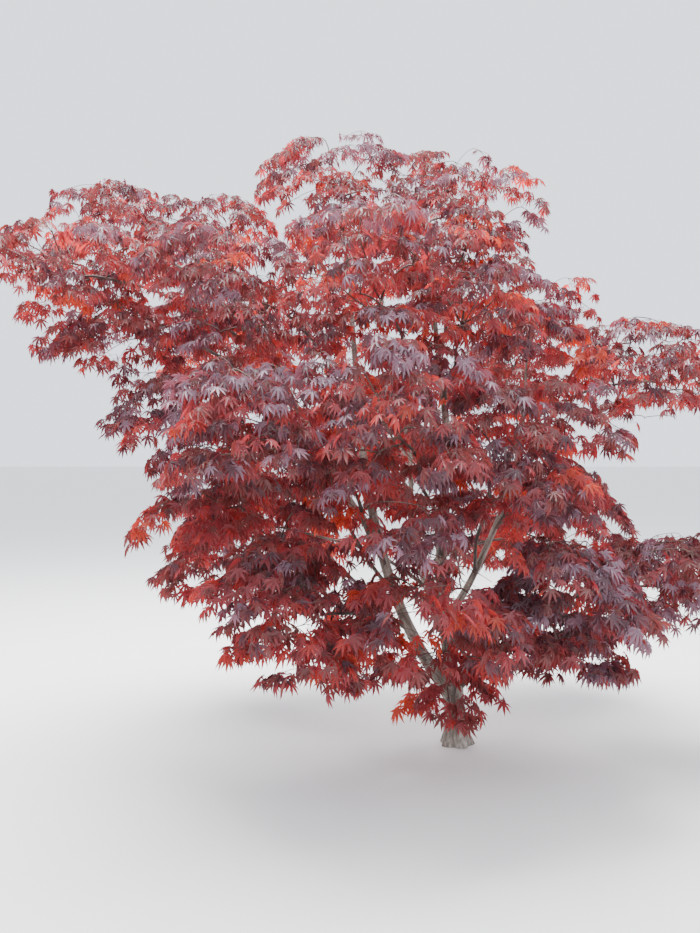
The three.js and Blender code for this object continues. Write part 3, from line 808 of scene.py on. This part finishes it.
def growFoliage():
    twigParts, stalkParts = [], []
    leafParts = {title: [] for title in tints}
    perSpray = len(leafPlaces)
    for index, name in enumerate(spaces):
        rng = np.random.default_rng(foliage["seed"] + index)
        root = lines[name](1.0) if name in crown else trunkAt(footShoots[1])
        twigs, radii, hubs, forward, tier, forked = growMass(name, root, rng)
        own = np.ones(len(hubs), bool)
        if name in crown:  # the inner shoots' sprays follow the mass's own
            shoots = growInnerShoots(name, rng)
            grown = zip((twigs, radii, hubs, forward), shoots)
            twigs, radii, hubs, forward = (np.concatenate(pair) for pair in grown)
            more = len(hubs) - len(tier)
            tier = np.append(tier, np.full(more, len(foliage["tiers"])))
            own = np.append(own, np.zeros(more, bool))
            forked = np.append(forked, np.zeros(more, bool))
        alongShoots, spot, base, ahead, left, size = growSprays(hubs, forward, rng)
        tint = np.repeat(dealTints(name, tier, rng), perSpray)
        spot, base, ahead, left = (array.reshape(-1, 3) for array in (spot, base, ahead, left))
        size, own = size.ravel(), np.repeat(own, perSpray)
        luck = rng.random(len(tint))
        tint = tint - (luck < neighbourTint[0]) + (luck > 1 - neighbourTint[1])
        tint = np.clip(tint, 0, len(tints) - 1)
        points = leafPoints(base, ahead, left, size, rng)

        # Leaves stay in their mass, off limbs and ground, and out of the way where a limb shows.
        kept = ~own | inSpace(name, points).all(axis=1) & onOwnSide(name, base)
        hearts = base + ahead * (leaf["heart"] * size[:, None])
        kept &= clearOfLimbs(hearts, leaf["limbRoom"]) & clearOfSight(hearts)
        kept &= points[..., 2].min(axis=1) > leaf["groundRoom"]
        kept &= ((points > lowest) & (points < highest)).all(axis=(1, 2))
        bySpray = kept.reshape(-1, perSpray)
        leafy = bySpray.sum(axis=1) >= foliage["fewest"]
        kept &= np.repeat(leafy, perSpray)

        drawn = np.insert(leafy | forked, 0, True)
        twigParts.append(tubes(twigs[drawn], radii[drawn], foliage["twigSides"]))
        twigParts.append(leafyShoots(alongShoots, bySpray))
        stalks = np.stack([spot, base + (base - spot) * leaf["stalkInside"]], 1)[kept]
        stalkParts.append(tubes(stalks, np.tile(leaf["stalkRadii"], (len(stalks), 1)), leaf["stalkSides"]))
        for i, title in enumerate(tints):
            chosen = points[kept & (tint == i)]
            faces = leafFaces + np.arange(len(chosen))[:, None, None] * len(outline)
            leafParts[title].append((chosen.reshape(-1, 3), faces.reshape(-1, 3)))
    made = {title: makePiece(title, *stacked(parts)) for title, parts in leafParts.items()}
    made["twigs"] = makePiece("twigs", *stacked(twigParts))
    made["leafStalks"] = makePiece("leafStalks", *stacked(stalkParts))
    for title, piece in made.items():
        print(title, len(piece.data.polygons))
    return made


foliagePieces = growFoliage()
print("leaves", sum(len(foliagePieces[title].data.polygons) for title in tints) // len(leafFaces))


# Materials.
class Value:  # a node's socket that can be added, multiplied and so on
    def __init__(self, shader, socket):
        self.shader, self.socket = shader, socket

    def maths(self, operation, first, second):
        return self.shader.node("ShaderNodeMath", {"operation": operation}, {0: first, 1: second})

    def __add__(self, other):
        return self.maths("ADD", self, other)

    def __mul__(self, other):
        return self.maths("MULTIPLY", self, other)

    def __rsub__(self, other):
        return self.maths("SUBTRACT", other, self)

    __rmul__ = __mul__


class Finish:
    def __init__(self, title):
        self.material = bpy.data.materials.new(title)
        self.material.use_nodes = True
        self.tree = self.material.node_tree
        self.tree.nodes.clear()

    def node(self, kind, settings, sockets, output=0):
        made = self.tree.nodes.new(kind)
        for setting, value in settings.items():
            if setting == "stops":
                ramp = made.color_ramp.elements
                while len(ramp) < len(value):
                    ramp.new(1)
                for element, (place, colour) in zip(ramp, value):
                    element.position, element.color = place, (*colour, 1)
            else:
                setattr(made, setting, value)
        for name, value in sockets.items():
            if isinstance(value, Value):
                self.tree.links.new(value.socket, made.inputs[name])
            else:
                made.inputs[name].default_value = value
        return Value(self, made.outputs[output])

    def output(self, shader):
        end = self.tree.nodes.new("ShaderNodeOutputMaterial")
        self.tree.links.new(shader.socket, end.inputs["Surface"])
        return self.material


barkLook = {
    "streaks": {"Scale": 85, "Detail": 5, "Roughness": 0.62},
    "patches": {"Scale": 7, "Detail": 3},
    "fissures": {"Scale": 210, "Detail": 3},
    "shade": (0.62, 0.38),  # of streaks and patches
    "height": (0.7, 0.3),  # of streaks and fissures
    "bump": {"Strength": 0.5, "Distance": 0.0025},
    "roughness": 0.95,
    "paleGloss": 0.25,  # how much smoother the pale streaks are
}
barks = {  # from the cracks to the pale streaks
    "stemsBark": [(0.34, (0.06, 0.048, 0.039)), (0.45, (0.155, 0.13, 0.106)),
                  (0.54, (0.265, 0.235, 0.198)), (0.66, (0.45, 0.42, 0.375))],
    # The boughs' stops are the stems' at about half the brightness: painted shade of the crown over the
    # boughs.
    "boughsShadedBark": [(0.34, (0.028, 0.02, 0.017)), (0.45, (0.07, 0.054, 0.045)),
                   (0.54, (0.12, 0.096, 0.08)), (0.66, (0.21, 0.185, 0.16))],
}


def barkMaterial(title, stops):
    bark = Finish(title)
    grain = bark.node("ShaderNodeAttribute", {"attribute_name": "grain"}, {}, "Vector")
    place = bark.node("ShaderNodeTexCoord", {}, {}, "Object")
    streaks = bark.node("ShaderNodeTexNoise", {}, {"Vector": grain, **barkLook["streaks"]})
    patches = bark.node("ShaderNodeTexNoise", {}, {"Vector": place, **barkLook["patches"]})
    fissures = bark.node("ShaderNodeTexNoise", {}, {"Vector": grain, **barkLook["fissures"]})
    shade = streaks * barkLook["shade"][0] + patches * barkLook["shade"][1]
    colour = bark.node("ShaderNodeValToRGB", {"stops": stops}, {0: shade})
    height = streaks * barkLook["height"][0] + fissures * barkLook["height"][1]
    bump = bark.node("ShaderNodeBump", {}, {"Height": height, **barkLook["bump"]})
    roughness = barkLook["roughness"] - barkLook["paleGloss"] * streaks
    return bark.output(bark.node("ShaderNodeBsdfPrincipled", {}, {
        "Base Color": colour, "Roughness": roughness, "Normal": bump}))


twigLook = {
    "mottle": {"Scale": 14, "Detail": 2},
    "stops": [(0.35, (0.035, 0.018, 0.016)), (0.65, (0.13, 0.06, 0.045))],
    "roughness": 0.6,
}


def twigMaterial(title):
    twig = Finish(title)
    place = twig.node("ShaderNodeTexCoord", {}, {}, "Object")
    mottle = twig.node("ShaderNodeTexNoise", {}, {"Vector": place, **twigLook["mottle"]})
    colour = twig.node("ShaderNodeValToRGB", {"stops": twigLook["stops"]}, {0: mottle})
    return twig.output(twig.node("ShaderNodeBsdfPrincipled", {}, {
        "Base Color": colour, "Roughness": twigLook["roughness"]}))


leafGloss = {"Roughness": 0.42, "Specular IOR Level": 0.45}
stalkLook = {"face": (0.22, 0.02, 0.03), "through": (0.5, 0.03, 0.03), "glow": 0.2}


def leafMaterial(title, look):  # light that falls on it, and light that comes through from behind
    blade = Finish(title)
    surface = blade.node("ShaderNodeBsdfPrincipled", {}, {"Base Color": (*look["face"], 1), **leafGloss})
    lit = blade.node("ShaderNodeBsdfTranslucent", {}, {"Color": (*look["through"], 1)})
    return blade.output(blade.node("ShaderNodeMixShader", {}, {0: look["glow"], 1: surface, 2: lit}))


for piece in (stems, boughs):
    piece.data.materials.clear()
    piece.data.materials.append(barkMaterial(piece.name, barks[piece.name]))
foliagePieces["twigs"].data.materials.append(twigMaterial("redBrownTwig"))
foliagePieces["leafStalks"].data.materials.append(leafMaterial("crimsonStalk", stalkLook))
for title, look in tints.items():
    foliagePieces[title].data.materials.append(leafMaterial(title + "Blade", look))

# The imported trunk, boughs and masses of leaves that the pieces stand for are hidden, and each piece
# hangs from the root body.
massNodes = ["leaves_" + name for name in spaces]
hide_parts(*["trunk" if name == "trunk" else "bough_" + name for name in stemNames])
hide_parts(*["bough_" + name for name in crown if name not in stemNames])
for title, piece in foliagePieces.items():
    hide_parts(*massNodes)
for piece in (stems, boughs, *foliagePieces.values()):
    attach(piece, "root")

# Studio: a pale floor, a bright overcast dome and soft lamps from above.
studio = {
    "floorSize": 160,
    "floorPlace": (0, 0, -0.001),
    "floorColour": (0.8, 0.8, 0.78),
    "floorRoughness": 0.9,
    "sky": (0.86, 0.9, 1.0),
    "skyStrength": 2.05,
    "lamps": {  # place, what it faces, size and power
        "above": ((-1.2, 1.2, 7), (-0.3, 0, 1.5), 6, 2300),
        "front": ((2.6, -5.5, 4.6), (-0.3, 0, 1.3), 3.5, 200),
    },
}
deselectAll()
bpy.ops.mesh.primitive_plane_add(size=studio["floorSize"], location=studio["floorPlace"])
floor = bpy.context.object
floor.name = "floor"
ground = Finish("paleFloor")
floor.data.materials.append(ground.output(ground.node("ShaderNodeBsdfPrincipled", {}, {
    "Base Color": (*studio["floorColour"], 1), "Roughness": studio["floorRoughness"]})))
floor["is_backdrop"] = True
world = bpy.data.worlds.new("paleSky")
bpy.context.scene.world = world
world.use_nodes = True
sky = world.node_tree.nodes["Background"]
sky.inputs["Color"].default_value = (*studio["sky"], 1)
sky.inputs["Strength"].default_value = studio["skyStrength"]
for name, (place, target, size, power) in studio["lamps"].items():
    aimed = (Vector(target) - Vector(place)).to_track_quat("-Z", "Y").to_euler()
    bpy.ops.object.light_add(type="AREA", location=place, rotation=aimed)
    lamp = bpy.context.object
    lamp.name = "lamp_" + name
    lamp.data.size = size
    lamp.data.energy = power

# The camera stands where the photo's did, at eye height, and looks level or nearly so.
bpy.ops.object.camera_add(location=view["place"])
camera = bpy.context.object
pitch = math.atan((view["imageHeight"] / 2 - view["horizon"]) / view["focal"])
camera.rotation_euler = (math.pi / 2 - pitch, 0, 0)
camera.data.sensor_width = view["sensor"]
camera.data.lens = camera.data.sensor_width * view["focal"] / view["imageHeight"]
bpy.context.scene.camera = camera

({title: [list(corner) for corner in box]
           for title, box in (("packed", packedBox), ("visual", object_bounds()))})
print("scene done")
